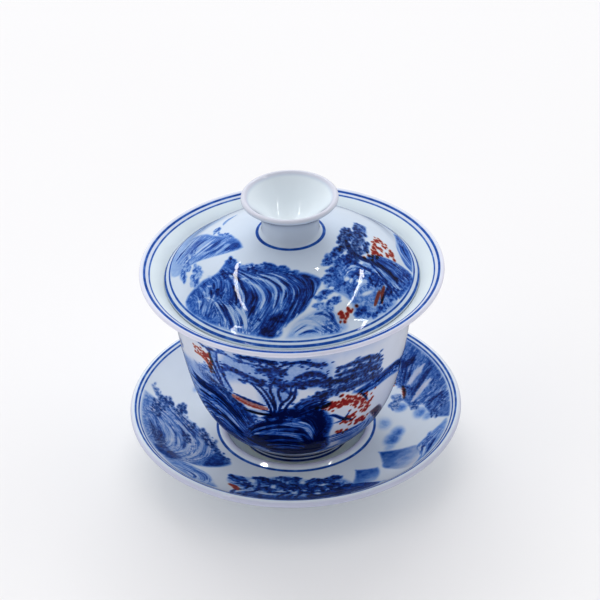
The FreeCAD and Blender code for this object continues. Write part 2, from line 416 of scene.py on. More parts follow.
def paint_bowl(art):
    # Left: lilac haze over a cliff whose strokes sweep down to the right.
    art.wash([(-76, 46), (-62, 49), (-48, 50), (-38, 46), (-28, 38), (-26, 24), (-44, 18), (-76, 20)], 0.55,
        0.3, 4)
    art.wash([(-58, 50), (-48, 49), (-38, 46), (-31, 41), (-36, 40), (-50, 44)], 0.9, 0.6, 2.5, red=0.06,
        leafy=0.5)
    art.wash([(-60, 42), (-38, 43), (-26, 39), (-20, 28), (-26, 18), (-54, 21)], 1.3, 1.2, 3)
    art.ribs([(-68, 45), (-54, 43.5), (-42, 43), (-32, 38), (-25, 30)], [(-66, 23), (-56, 28), (-48, 27),
        (-40, 23), (-30, 18)], 22, 1.7, 2, 0.6, 0.35, grain=1.2)
    art.ribs([(-52, 38), (-44, 40), (-36, 36), (-28, 28)], [(-52, 27), (-46, 28), (-40, 26), (-32, 21)], 12,
        1.3, 1.9, 0.4, 0.4, grain=1.1)
    art.canopy([(-48, 47.5), (-40, 45.5), (-33, 42), (-26, 38)], 2.4, 1.6, red=0.15)
    art.canopy([(-31, 40), (-26, 35), (-25, 28), (-28, 24)], 4, 1.8)
    art.canopy([(-22, 36.5), (-18, 34), (-14, 32)], 2.6, 1.5)
    # Middle: a boulder of round strokes, nearly black below and to the right.
    art.wash([(-28, 24), (-22, 33), (-14, 38), (-2, 41), (9, 41), (15, 37), (15, 28), (15, 17), (4, 14.8),
        (-16, 15.6)], 2.1, 1.7, 1.5)
    art.ribs([(-30, 26), (-22, 33), (-8, 37.5), (6, 36), (12, 28)], [(-30, 18), (-20, 19.6), (-8, 20.6),
        (2, 19.6), (6, 17.4)], 22, 1.6, 2.4, 0.9, 0.35, grain=1.2)
    art.ribs([(-36, 22), (-26, 19.4), (-12, 16.4), (2, 15.2)], [(-32, 25), (-24, 22), (-12, 19.2), (2, 17.4)],
        5, 1.6, 1.9, 0.8, 0.4, grain=0.9)
    art.strokes([[(-8, 34.6), (2, 34.2), (7, 31), (8.5, 25.5)], [(-24, 27), (-12, 29), (-2, 28.6), (4, 25)]],
        1.9, (0.3, 0.2), True, 1.6, ink=0.55)
    art.wash([(9, 40), (15, 37), (17, 32), (15, 28), (17.5, 24), (15.5, 20), (18, 17), (10, 18), (13, 30)], 2,
        1.8, 1.6)
    art.canopy([(14, 38), (17, 33), (15, 27), (17, 20), (18, 18.5)], 4.5, 2)
    # The pines over it: dark roots, outlined trunks, then boughs of needles over a pale haze.
    art.wash([(-40, 47), (-37, 58), (-24, 64), (14, 63.5), (16, 50), (2, 51), (-3, 44), (-15, 43), (-19, 52),
        (-34, 50)], 0.36, 0.26, 5, leafy=0.3)
    # A faint blue-grey band round the front just under the lip: painted shade, where the lip shades the wall
    # below it.
    art.wash([(-60, 66), (0, 67), (60, 66), (44, 61.5), (0, 62), (-44, 62)], 0.1, 0.07, 6)
    art.boughs([([(-14, 38), (-5, 39.5), (5, 41), (16, 42)], 4.5), ([(-10, 36.8), (2, 38.5), (14, 38)], 4),
        ([(1, 43), (8, 45.2), (18, 46)], 3.2)], ink=2.3)
    art.ribs([(0, 42), (6, 45.5), (16, 46.5)], [(2, 38.5), (9, 40.5), (17, 42.5)], 7, 0.9, 1.9, 0.5, 0.6)
    art.strokes([[(-12, 37), (-13, 42), (-16, 47), (-21, 51.5)], [(-10.5, 38), (-11, 43), (-14, 48),
        (-17, 51)], [(-10, 41), (-10.5, 46), (-12, 50), (-9, 55)], [(-9, 38), (-7, 43.5), (-3, 46.5),
        (-1.5, 51.5)], [(-7, 38), (-4, 43), (-0.5, 46.5), (0.5, 51)], [(-7, 45), (-8, 49), (-5, 53)]], 0.9,
        (1, 0.5), ink=1.8)
    art.boughs([([(-49, 61.5), (-40, 61.3), (-33, 62)], 1.1, 1.75), ([(-36, 62.6), (-29, 61)], 2.2, 1.15),
        ([(-26, 62.8), (-17, 63.2), (-8, 62)], 3, 2.05), ([(-25, 60.4), (-17, 60.2)], 1.8, 1.65), ([(-17, 58),
        (-10, 58.6), (-5, 57.6)], 4.2, 1.85), ([(-12, 57), (-8, 53), (-6, 50)], 4.2, 1.75), ([(-4, 62),
        (3, 62.8), (9, 61), (15, 59.8)], 2.4, 2.05), ([(-38, 52.5), (-33, 55.4), (-26, 54.8), (-18, 53),
        (-12, 51)], 2.8, 1.95), ([(-25, 52.2), (-18, 51.4)], 1.8, 1.65), ([(-7, 52), (2, 52.6), (9, 52.6),
        (18, 52)], 4, 2.15), ([(1, 55.4), (8, 57), (14, 55)], 3, 2.15), ([(-4, 49.5), (0, 48.4)], 3.2, 1.65)])
    for line, tall in (([(22, 56.8), (29, 57.4), (37, 57), (45, 54.6)], 3), ([(20, 54), (32, 54.4),
        (45, 53)], 2.6), ([(14, 50.4), (24, 51.4), (34, 51.6), (46, 51)], 4.2), ([(12, 47), (24, 47.6),
        (37, 47.6), (47, 47.4)], 4.4)):
        art.canopy(line, tall * 0.9, 1.7, 0.7, red=0.12)
    for angle, level in ((13, 53), (24, 53), (27, 48.8), (33, 52.6), (40, 49.4), (-8, 51), (-19, 60.6),
        (30, 55.6), (20, 49), (36, 55.4), (44, 52.4), (17, 45.4), (31, 49.8), (-22, 53.6), (4, 54),
        (8, 50.6)):
        art.dab(angle, level, 2.6, 1.1, 20, 1, True, ink=0.4, red=0.05)
    # The branch on the left, with red leaves.
    art.stroke([(-40, 61), (-40, 56), (-38, 50), (-35, 46)], 3, (0.7, 0.6), ink=0.4, leafy=0.5)
    art.stroke([(-42, 62), (-42.6, 57), (-40, 51.5), (-37.6, 46.5)], 1.2, (0.5, 0.5), soft=0.6, ink=1.4)
    art.stroke([(-38, 61), (-38.8, 56), (-36, 50.5), (-32.6, 46)], 1.1, (0.5, 0.5), soft=0.6, ink=1.3)
    art.stroke([(-45, 55), (-42, 51), (-40, 48), (-36, 45)], 1, ink=1.3)
    art.stroke([(-38, 56), (-33, 56.5), (-28, 55)], 1.1, ink=1.3)
    art.canopy([(-53, 49.5), (-46, 51), (-43, 48.5)], 3.4, 0.9, 0.9, 0.7)
    art.stroke([(-55, 55), (-50, 55.5), (-46, 54), (-43, 51)], 1.3, red=0.7)
    art.leaves(-48, 57, 9, 4, 40, 0.95, 0.8)
    art.leaves(-44, 53.4, 4, 7, 26, 0.95, 0.8)
    # Roofs, one behind the other.
    art.stroke([(-32, 43.4), (-24, 41.9), (-15, 40.8)], 2.6, (0.7, 0.5), over=True, red=0.5, ink=0.1, grain=0,
        leafy=0)
    art.stroke([(-31, 42.9), (-24, 41.3), (-16, 40.3)], 0.8, (0.8, 0.3), red=0.8)
    art.stroke([(-33, 45), (-24, 43.6), (-15, 42.2)], 1, ink=1.6)
    art.stroke([(-26, 39.6), (-20, 39.2), (-14, 39.2)], 0.9, (0.5, 0.5), over=True, ink=0.2, red=0)
    art.stroke([(-27, 38.5), (-22, 38.2), (-13, 38)], 1.2, (0.5, 0.5), ink=1.6, red=0.6)
    art.dab(-19, 35.4, 5, 2.2, 0, 0.7, True, ink=0.2)
    # Right: red leaves over white rock, with a few twigs.
    art.stroke([(15, 36.5), (20, 36), (26, 33), (32, 31)], 1.1, ink=1.5)
    art.stroke([(33, 44), (37, 41), (41, 37)], 0.8, ink=1.2)
    art.stroke([(20, 32), (26, 32.5), (30, 36)], 0.7, ink=1.2)
    art.leaves(17, 41, 8, 3.4, 34, 1.1, 0.9)
    art.leaves(26, 40.8, 11, 4.6, 46, 1.1, 0.95)
    art.leaves(35, 38.8, 12, 8, 46, 1.1, 0.95)
    art.leaves(30, 32, 7, 5, 18, 1.1)
    art.leaves(40, 34.5, 5, 9, 16, 1.1, 0.9)
    art.leaves(38, 28.6, 10, 3, 26, 1.1)
    art.leaves(27, 26.3, 5, 2.4, 9, 1.1)
    art.lines([(15, 25.5), (28, 25.5), (43, 26.5)], 5, 1.2, 0.8, 1.1)
    art.ribs([(43, 30), (44, 26), (42, 22)], [(50, 27), (50, 23), (46, 20)], 7, 1.1, 1.1)
    art.wash([(30, 25), (44, 27), (58, 24), (64, 18), (30, 18)], 0.45, 0.3, 2.5)
    # A dark branch reaching round to the right, and a brown bank under it.
    art.wash([(30, 44), (46, 46.5), (60, 46), (72, 42), (82, 36.5), (93, 28.5), (79, 34), (70, 38),
        (56, 41.5), (40, 41.5)], 0.9, 1.1, 1.6, grain=0.6)
    art.ribs([(32, 44), (48, 46), (62, 45), (74, 40.5), (90, 30.5)], [(36, 42), (48, 42.5), (60, 42),
        (70, 38), (88, 29.5)], 9, 1, 1.6, 0.3, 0.3)
    art.foliage(50, 44, 12, 3.2, 1.5)
    art.foliage(68, 42.5, 12, 3.2, 1.4)
    art.foliage(81, 37, 9, 3, 1.3)
    art.foliage(90, 31, 7, 2.6, 1.2)
    art.wash([(45, 30), (52, 30.4), (58, 27), (66, 21.5), (80, 18), (80, 15), (62, 19), (52, 25)], 0.5, 0.7,
        1.2, red=0.6, leafy=0.8)
    art.stroke([(52, 26), (60, 21.5), (70, 18), (80, 15.5)], 1.2, red=0.6, ink=0.5)
    # Water along the foot.
    for start in (-76, -58, -40, -18, 6, 28, 50, 70):
        art.lines([(start, 19.4), (start + 10, 17.4), (start + 26, 18.4)], 3, 1.5, 1, 0.7, 0.8)
    # Behind: a quieter shore with far hills, a grove and open water.
    for left, right, top, ink in ((94, 162, 42, 1.1), (182, 248, 36, 0.85)):
        middle = (left + right) / 2
        art.wash([(left, 24), (middle - 16, top - 4), (middle - 4, top + 3), (middle + 14, top - 6),
            (right, 24), (middle, 19)], 0.3, ink * 0.7, 2, grain=0.7)
        art.ribs([(left + 4, 24), (middle - 14, top - 6), (middle, top), (right - 8, 25)], [(left + 16, 21),
            (middle - 6, 26), (middle + 6, 27), (right - 24, 21)], 18, 1.2, ink)
    for angle, level in ((100, 43), (109, 48), (118, 51), (127, 48), (136, 50), (122, 46)):
        art.foliage(angle, level, 9, 4, 1.3)
    art.strokes([[(120, 38), (118, 44), (121, 50)], [(122, 38), (125, 44), (131, 48)]], 1, (1, 0.5), ink=1.4)
    art.leaves(136, 44, 8, 4, 30)
    art.foliage(200, 42, 10, 3, 1.1)
    art.foliage(210, 39, 8, 3, 1.1)
    art.stroke([(246, 54), (262, 58), (276, 57), (290, 60)], 1.3, ink=1.2)
    art.foliage(268, 55, 13, 4, 1.2)
    art.foliage(283, 51, 10, 3.4, 1.1)
    for start in (96, 122, 148, 174, 200, 226, 252):
        art.lines([(start, 18), (start + 12, 16.4), (start + 28, 17)], 4, 1.7, 0.8, 0.7)


def paint_lid(art):
    # Front left: a great cliff whose strokes roll over to the right like a wave.
    art.wash([(-64, 22.5), (-55, 21.5), (-44, 22), (-34, 19.5), (-24, 17.6), (-10, 18.4), (4, 20), (14, 21),
        (22, 24), (15, 27.5), (9, 31), (2, 34), (-5, 36.5), (-8, 39.3), (-30, 39.4), (-60, 39.4), (-63, 33),
        (-59, 28)], 0.9, 1.3, 1.6, leafy=0.4)
    art.ribs([(-60, 26), (-52, 26.5), (-46, 29), (-44, 33), (-42, 38)], [(-62, 36), (-58, 36), (-54, 37),
        (-52, 38), (-50, 39.2)], 16, 1.5, 1.5, 0.4, 0.45, 0.6, 1)
    art.ribs([(-40, 20.5), (-16, 20), (0, 22), (9, 26), (2, 33), (-6, 38.5)], [(-60, 26), (-50, 26.5),
        (-41, 28.5), (-36, 31), (-34, 34), (-34, 38.6)], 36, 1.4, 1.9, 0.5, 0.4, 0.4, 1.1)
    art.strokes([[(-38, 23.6), (-20, 23.6), (-11, 26.5), (-11, 32)], [(-40, 25.4), (-26, 26), (-18, 29),
        (-18, 33)], [(-30, 22), (-14, 22.4), (-6, 26), (-7, 31)], [(-44, 27.5), (-34, 29), (-28, 33),
        (-27, 38)]], 0.9, (0.2, 0.2), True, 0.9, ink=0.2)
    art.ribs([(-52, 34.6), (-45, 35.2), (-39, 37), (-35, 39.2)], [(-34, 32.5), (-28, 34), (-24, 36.5),
        (-22, 39.2)], 16, 1.2, 1.5, 0.1, 0.6, grain=1.2)
    art.wash([(0, 20), (12, 21), (22, 24), (14, 28), (7, 32), (2, 33), (6, 27)], 1.9, 1.8, 1.8)
    art.wash([(-17, 39.3), (-16, 36), (-12, 33.5), (-3, 33), (-4, 35.6), (-7, 36.4), (-9, 39.3)], 1.9, 1.6,
        1.4)
    art.ribs([(-4, 19.8), (6, 21.6), (11, 27), (4, 32.5)], [(6, 20.8), (18, 23.6), (15, 27.6), (8, 31)], 12,
        1, 2.1, 1, 0.3, grain=1)
    art.canopy([(-15, 36.8), (-12, 35.6), (-8, 34.6), (-4, 34.2)], 2.4, 2.1)
    art.grove([(-60, 22.4, 4, 2, 1.4), (-54, 22, 4, 2, 1.1), (-36, 20, 4, 2.4, 1), (-28, 19, 4, 2.4, 1.3),
        (-22, 18.2, 4.4, 2.6, 1.6), (-18, 19.4, 3, 2, 1.6), (-9, 18.4, 3.6, 2.4, 1.3), (0, 20.2, 4, 2, 1.7),
        (-43, 21, 3, 3, 0.8), (-54, 27, 5, 3, 1.6), (-45, 32, 6, 3, 1.8), (-34, 21.4, 8, 2, 1.6)])
    for angle, level in ((-62, 30), (-56, 32), (-51, 34.5), (-48, 26), (-55, 36.5), (-38, 25)):
        art.dab(angle, level, 3, 1.3, 25, 0.8, True, ink=0.15, leafy=0.3)
    # Low pale hills in the middle, their slopes only lightly brushed.
    art.wash([(-3, 39.3), (1, 36), (8, 34), (16, 33), (22, 34.5), (25, 39.3)], 0.35, 0.4, 2.2, grain=0.8)
    art.ribs([(-2, 37), (4, 35.2), (11, 35.4), (19, 39)], [(2, 39.2), (6, 38.2), (9, 38.2), (12, 39.2)], 11,
        0.9, 1.3, 0.1, 0.3)
    art.ribs([(6, 34.5), (12, 33.8), (18, 35), (22, 39)], [(20, 33), (23, 34.5), (23, 36.5), (24, 39)], 9,
        0.9, 1.4, 0.1, 0.4)
    art.wash([(13, 39.3), (15, 36), (20, 35), (23, 39.3)], 0.9, 0.6, 1.5, leafy=0.6)
    art.grove([(18, 29.5, 3.6, 2.2, 1.1), (23, 28.6, 3.6, 2, 1.3), (15, 32, 3.4, 2, 0.8),
        (21, 33.4, 3, 1.6, 0.8)])
    # Right: a grove in loose touches over a pale bank, a pavilion, and red leaves by the water.
    art.wash([(24, 27), (38, 22), (58, 21), (64, 28), (60, 38.5), (44, 39.3), (34, 38), (34, 32)], 0.5, 0.9,
        2.5, leafy=0.5)
    art.ribs([(40, 25), (48, 24), (56, 25), (62, 29)], [(38, 33), (44, 31), (50, 31), (56, 34)], 14, 1.2, 1.1,
        0.1, 0.4)
    for angle, level, wide, tall, ink in ((29, 24.6, 5, 2.6, 1.6), (35, 22.8, 4, 2.4, 1.5),
        (38, 18.8, 3, 2, 1.6), (46, 17.8, 5, 2.2, 1.6), (54, 18, 5, 2.4, 1.7), (44, 21.4, 4, 2.2, 1.5),
        (50, 20.6, 4, 2.4, 1.7), (57, 22.6, 5, 4.4, 1.8), (41, 24.4, 5, 2.4, 1.5), (33, 27.6, 6, 2.8, 1.4),
        (40, 30, 5, 2.4, 1.6), (52, 27, 5, 2.6, 1.8), (58, 32, 5, 4, 1.9), (37, 36.6, 4, 2.4, 1.8),
        (46, 38.4, 9, 1.6, 1.9), (60, 37, 6, 4, 2), (25, 31.6, 4, 2, 1.4), (53, 31.6, 4, 2, 1.6)):
        art.foliage(angle, level, wide * 1.2, tall * 1.15, ink * 0.85, leafy=0.9)
    for angle, level, wide in ((46, 33.2, 7), (41, 26.8, 3), (61, 25.5, 3.4), (27, 27.6, 3), (47, 29, 2.6)):
        art.dab(angle, level, wide, 2, -10, 0.6, True, ink=0.05, leafy=0.1)
    art.stroke([(62, 38), (61, 31), (58, 25), (52, 20)], 1.2, (1, 0.4), ink=1.6)
    art.leaves(27.5, 35.6, 5, 4.4, 20, 0.9, 0.8)
    art.leaves(32, 35.2, 7, 2, 12, 0.9, 0.8)
    for step in (0, 4.5):
        art.stroke([(46 + step, 36.6 + step / 9), (50 + step, 35.5), (54 + step, 34.6)], 1.2, (0.7, 0.6),
            over=True, red=0.75, ink=0.25, grain=0, leafy=0)
    art.stroke([(48, 37.2), (54, 36.3), (59, 35.4)], 0.8, ink=1.7)
    # Far right: a pine leaning over a cliff of upright strokes, with red leaves.
    art.wash([(61, 39.3), (62, 33), (65, 28), (72, 26), (79, 30), (82, 39.3)], 1.2, 1.3, 1.2, grain=0.7,
        leafy=0.6)
    art.ribs([(63, 38), (64, 32), (68, 27)], [(80, 39), (79, 33), (76, 29)], 16, 0.9, 1.9, 0.5, 0.35,
        grain=1.2)
    art.stroke([(70, 36), (69, 29), (66, 24), (70, 20), (80, 18)], 2, (1, 0.5), ink=1.8, red=0.15)
    art.grove([(72, 18.4, 8, 3.4), (82, 17.4, 9, 3.6), (93, 18.6, 9, 3.4), (74, 21.6, 9, 4),
        (86, 21.6, 11, 4), (99, 22.6, 9, 4), (65, 22.5, 6, 4), (80, 24.6, 8, 2)], ink=1.4, red=0.2, leafy=0.9)
    art.leaves(80, 27.4, 10, 4.6, 34, 0.95, 0.85)
    art.leaves(92, 28, 10, 5.2, 34, 0.95, 0.85)
    art.leaves(88, 32.5, 7, 3.6, 14, 0.9)
    art.wash([(84, 39.3), (88, 36.5), (98, 35), (110, 37), (117, 39.3)], 1, 0.9, 1.2, grain=0.7)
    art.ribs([(86, 39), (96, 35.6), (108, 36.6), (116, 39)], [(92, 39), (98, 37.6), (104, 37.8), (108, 39)],
        8, 0.9, 1.4, 0.2)
    art.foliage(104, 23.4, 5, 4.4, 1.3, red=0.12)
    art.foliage(111, 24.6, 3.4, 4, 1.1, red=0.12)
    # Left and behind: far hills brushed from their crests down, fading into washes.
    art.wash([(-117, 39.3), (-112, 31), (-106, 27), (-98, 22), (-90, 18.2), (-80, 16.9), (-69, 17.3),
        (-72, 21), (-79, 28), (-82, 32), (-86, 39.3)], 0.3, 0.95, 1.2, grain=0.6)
    art.ribs([(-72, 17.6), (-71, 18.4), (-71.5, 20)], [(-95, 21), (-89, 26), (-84, 33)], 15, 1.3, 1.1, 0.2,
        0.4)
    art.ribs([(-95, 21), (-89, 26), (-84, 33)], [(-114, 34), (-108, 37), (-98, 39.3)], 15, 1.3, 1.1, 0.15,
        0.45)
    art.wash([(-69, 17), (-78, 17), (-84, 18.4), (-78, 20.5), (-72, 20)], 1.3, 1.3, 1.6)
    art.canopy([(-104, 24), (-98, 21), (-92, 18.8)], 2, 0.9)
    art.grove([(-74, 32, 7, 3), (-68, 34, 6, 3), (-86, 34.5, 9, 4), (-95, 33, 8, 4), (-80, 36, 8, 2.6)],
        ink=0.75)
    art.wash([(-150, 39.3), (-142, 33), (-130, 29), (-118, 33), (-114, 39.3)], 0.32, 0.12, 2.5, grain=0.3)
    art.stroke([(-136, 25.4), (-126, 25.8), (-119, 25.2)], 1.4, ink=0.5)
    art.foliage(-111, 26, 4, 2, 0.8)
    art.wash([(136, 39.3), (146, 34), (158, 32), (172, 35), (184, 32), (198, 36), (204, 39.3)], 0.5, 0.2, 2,
        grain=0.4)
    art.ribs([(150, 39), (160, 34.5), (170, 34), (186, 39)], [(158, 39), (164, 37), (170, 37), (176, 39)], 8,
        0.9, 0.7)


def paint_saucer(art):
    # Left: a mountain of arching strokes whose dark tip leans over the plain.
    art.wash([(-101, 52), (-98, 44), (-94, 40), (-88, 37.5), (-82, 33), (-74, 31), (-66, 30.6), (-58, 31),
        (-51, 30.6), (-45.5, 31.8), (-48, 36), (-51, 41), (-56, 45), (-60, 51.5)], 0.6, 0.68, 1.8, leafy=0.4,
        red=0.06)
    art.boughs([([(-106, 50.5), (-102, 47), (-99, 43)], 2.4, 0.9), ([(-98, 42), (-93, 38.6),
        (-88, 37)], 3, 1.1), ([(-83, 33), (-77, 31.4), (-71, 30.6)], 2.6, 1.1), ([(-88, 36),
        (-87, 34.4)], 1.6, 0.7), ([(-64, 30.6), (-56, 31), (-47, 31)], 2, 1.6)], leafy=0.7, red=0.12)
    art.ribs([(-102, 46), (-94, 37.5), (-82, 32.5), (-69, 31.5), (-58, 36), (-55, 45)], [(-90, 51.5),
        (-87, 49), (-82, 48), (-77, 48), (-73, 49.5), (-71, 51.5)], 30, 1.4, 1.15, 0.35, 0.42, 0.6, 0.9)
    art.strokes([[(-92, 42), (-84, 38), (-74, 37), (-65, 42), (-64, 48)], [(-86, 44), (-78, 42.5), (-70, 45),
        (-69, 49)], [(-80, 34.5), (-70, 34), (-62, 38), (-59, 44)]], 1.3, (0.2, 0.2), True, 0.8, ink=0.25)
    art.wash([(-86, 50), (-78, 46), (-70, 46), (-66, 50)], 1.2, 1, 2.5, red=0.16, leafy=0.5)
    art.wash([(-60, 31.5), (-51, 31), (-45.5, 32), (-49, 38), (-52, 40), (-57, 35)], 1.6, 1.4, 2.4)
    art.wash([(-68, 47), (-60, 44), (-58, 50), (-68, 51.4)], 1.4, 1.2, 2.5, red=0.12)
    art.grove([(-87, 35.5, 4, 3), (-99, 39.5, 7, 3), (-95, 47, 10, 5), (-79, 32, 7, 3), (-69, 30.6, 7, 2.4),
        (-76, 38, 8, 3), (-101, 45, 5, 5)], ink=1.35, red=0.17)
    art.wash([(-60, 51.5), (-58, 46), (-50, 43.5), (-43, 43.5), (-37, 46.5), (-33, 51.5)], 0.55, 0.6, 2,
        grain=0.5)
    art.ribs([(-57, 47), (-50, 43), (-42, 43), (-37, 47), (-35, 52)], [(-52, 52), (-48, 49.5), (-45, 49.5),
        (-43, 50.5), (-42, 52)], 14, 0.9, 1.1, 0.08, 0.5)
    # Front: a row of dark trees along the rim, a roof and a fence.
    art.wash([(-34, 36.5), (-20, 32.6), (-6, 29.8), (8, 33), (22, 33.6), (25, 44), (10, 46), (-20, 45),
        (-34, 41)], 0.5, 0.7, 2.4, leafy=0.6)
    art.grove([(-32, 37.5, 7, 4.5), (-26, 40, 6, 3), (-19, 34.5, 10, 4.5), (-11, 35, 6, 3.5),
        (-6, 31.3, 8, 3), (0, 34, 6, 4.5), (-4, 37.5, 9, 5), (6, 37, 6, 4.5), (10, 34, 7, 4), (18, 35, 9, 5),
        (13, 39, 13, 4.5), (-16, 40, 9, 4), (-8, 42, 8, 3.6), (4, 42, 8, 3.6), (14, 43.5, 13, 3.6),
        (22, 42, 6, 3)], ink=2, leafy=0.5)
    art.wash([(-24, 51.5), (-22, 45), (-10, 44), (2, 46), (4, 51.5)], 1.5, 0.9, 2, leafy=0.5)
    art.wash([(4, 51.5), (4, 44), (18, 42), (28, 45), (31, 51)], 1.6, 1.7, 2, leafy=0.5)
    for angle in (-25, -20, -14, -7, -3, 0, 5, 10, 14, 18):
        art.stroke([(angle, 37), (angle + 1.5, 42), (angle - 1, 47), (angle + 0.5, 52)], 1.3, (0.8, 0.8),
            ink=1.9)
    for angle, level, wide, tall in ((-14, 44.5, 9, 4), (-1.5, 42, 4, 5), (-24.5, 36, 5, 5),
        (-12.5, 37.5, 3.4, 5), (2.5, 33.5, 3.4, 6), (13, 37, 5, 2.4), (-27, 43.4, 8, 3), (-8, 41, 7, 2),
        (8.5, 44, 4, 3.4)):
        art.dab(angle, level, wide, tall, 0, 0.8, True, ink=0.15)
    art.lines([(-24, 48), (-14, 49.5), (2, 49.6), (18, 49), (34, 50)], 3, 1, 0.8, 1.5)
    art.stroke([(18, 43), (26, 43.5), (30, 47), (31, 51)], 2, ink=1.6)
    art.stroke([(-31, 43), (-28, 43.8), (-25.5, 46)], 2.2, (0.7, 0.6), over=True, red=0.85, ink=0.1)
    art.stroke([(4, 46), (8, 47), (12, 46.5), (16, 47.5)], 1.7, (0.6, 0.6), red=0.75)
    # Right front: two far peaks like sails, and a low bank.
    art.wash([(19, 46), (27, 40.5), (34.4, 34.6), (35, 34.4), (42, 38.2), (43, 39), (38, 43.6), (30, 48),
        (22, 48)], 0, 1.35, 1.5)
    art.wash([(44, 42), (49, 37.6), (55.8, 33.6), (56.6, 33.4), (61, 39), (64, 45), (56, 49), (46, 51)], 0,
        1.25, 1.5, red=0.06, grain=0.4)
    art.stroke([(49.5, 38), (46, 40.6), (45.6, 43)], 1.8, soft=1.2, ink=0.8)
    art.wash([(47, 51.8), (56, 49.4), (62, 45), (69, 46), (76, 49.4), (77, 51.8)], 0.5, 1.1, 1.6, grain=0.6)
    art.ribs([(50, 51.5), (58, 48), (64, 46), (74, 49.4)], [(54, 51.8), (60, 51), (66, 50.6), (72, 51.6)], 10,
        1.1, 1.2, 0.15, 0.4)
    art.foliage(67, 47.2, 9, 3, 1.1)
    for angle, level, wide, tall, ink in ((63, 35, 9, 5, 0.35), (70, 34.2, 11, 8, 1), (76.5, 35, 10, 7, 0.9),
        (86, 30, 10, 7, 0.45), (90, 42, 9, 7, 0.8), (86, 44.5, 7, 6, 0.6), (99, 36, 7, 7, 0.9)):
        art.dab(angle, level, wide, tall, 0, 1, ink=ink, leafy=0.3)
    # Right: a mountain of slanting strokes behind red-trimmed huts.
    art.wash([(80, 52), (83, 48), (88, 45), (95, 43.5), (97, 40), (104, 38), (112, 40), (118, 38.5),
        (124, 37), (131, 38), (140, 42), (146, 47), (148, 52)], 0.9, 0.9, 1.2, leafy=0.3, red=0.06)
    art.ribs([(97, 40), (103, 43), (108, 47.5), (110, 52)], [(124, 38), (132, 42), (138, 47), (140, 52)], 26,
        1.9, 1.5, 0.35, 0.4, 0.6, 0.6, red=0.1)
    art.ribs([(86, 47), (90, 49), (91, 52)], [(98, 42), (101, 48), (104, 52)], 9, 1.3, 1.5, 0.25, 0.4, 0.5, 1)
    art.strokes([[(100, 40), (105, 44), (108, 49)], [(112, 41), (115, 45), (117, 50)], [(126, 39.5),
        (130, 44), (133, 50)], [(137, 43), (140, 47), (142, 51)]], 2, (0.3, 0.3), True, 0.9, ink=0.15)
    art.grove([(102, 34.5, 5, 4, 0.8), (107, 36.5, 6, 3, 0.9), (97, 40.5, 5, 3, 0.9), (86, 47, 5, 3, 1.2),
        (92, 50, 7, 3, 1.3), (108, 41, 8, 3, 1.4), (122, 42, 12, 4, 1.3), (134, 44, 10, 5, 1.2),
        (104, 49, 5, 5, 1.2)], red=0.1)
    art.stroke([(105, 38.3), (109, 39.4), (114, 40.4)], 1.2, red=0.9, ink=0.3)
    art.leaves(119.5, 38.4, 3, 2, 10, 0.8, 0.9)
    # Behind the bowl: a low shore that joins the two mountains.
    art.wash([(150, 52), (162, 46), (172, 43), (182, 45), (192, 41), (204, 44), (214, 48), (222, 52)], 0.5,
        0.7, 1.5, grain=0.7)
    art.ribs([(156, 51), (170, 44), (190, 42.5), (216, 51)], [(170, 51), (180, 48), (190, 48), (200, 51)], 16,
        1.1, 1)
    art.foliage(168, 41, 9, 3.4, 1.1)
    art.foliage(196, 39, 9, 3.4, 1.1)
    art.wash([(226, 40), (234, 37), (244, 38.5), (240, 40)], 0.3, 0.3, 1.5)


# ---------------------------------------------------------------- materials

def new_material(name):
    material = bpy.data.materials.new(name)
    material.use_nodes = True
    material.node_tree.nodes.clear()
    return material, material.node_tree


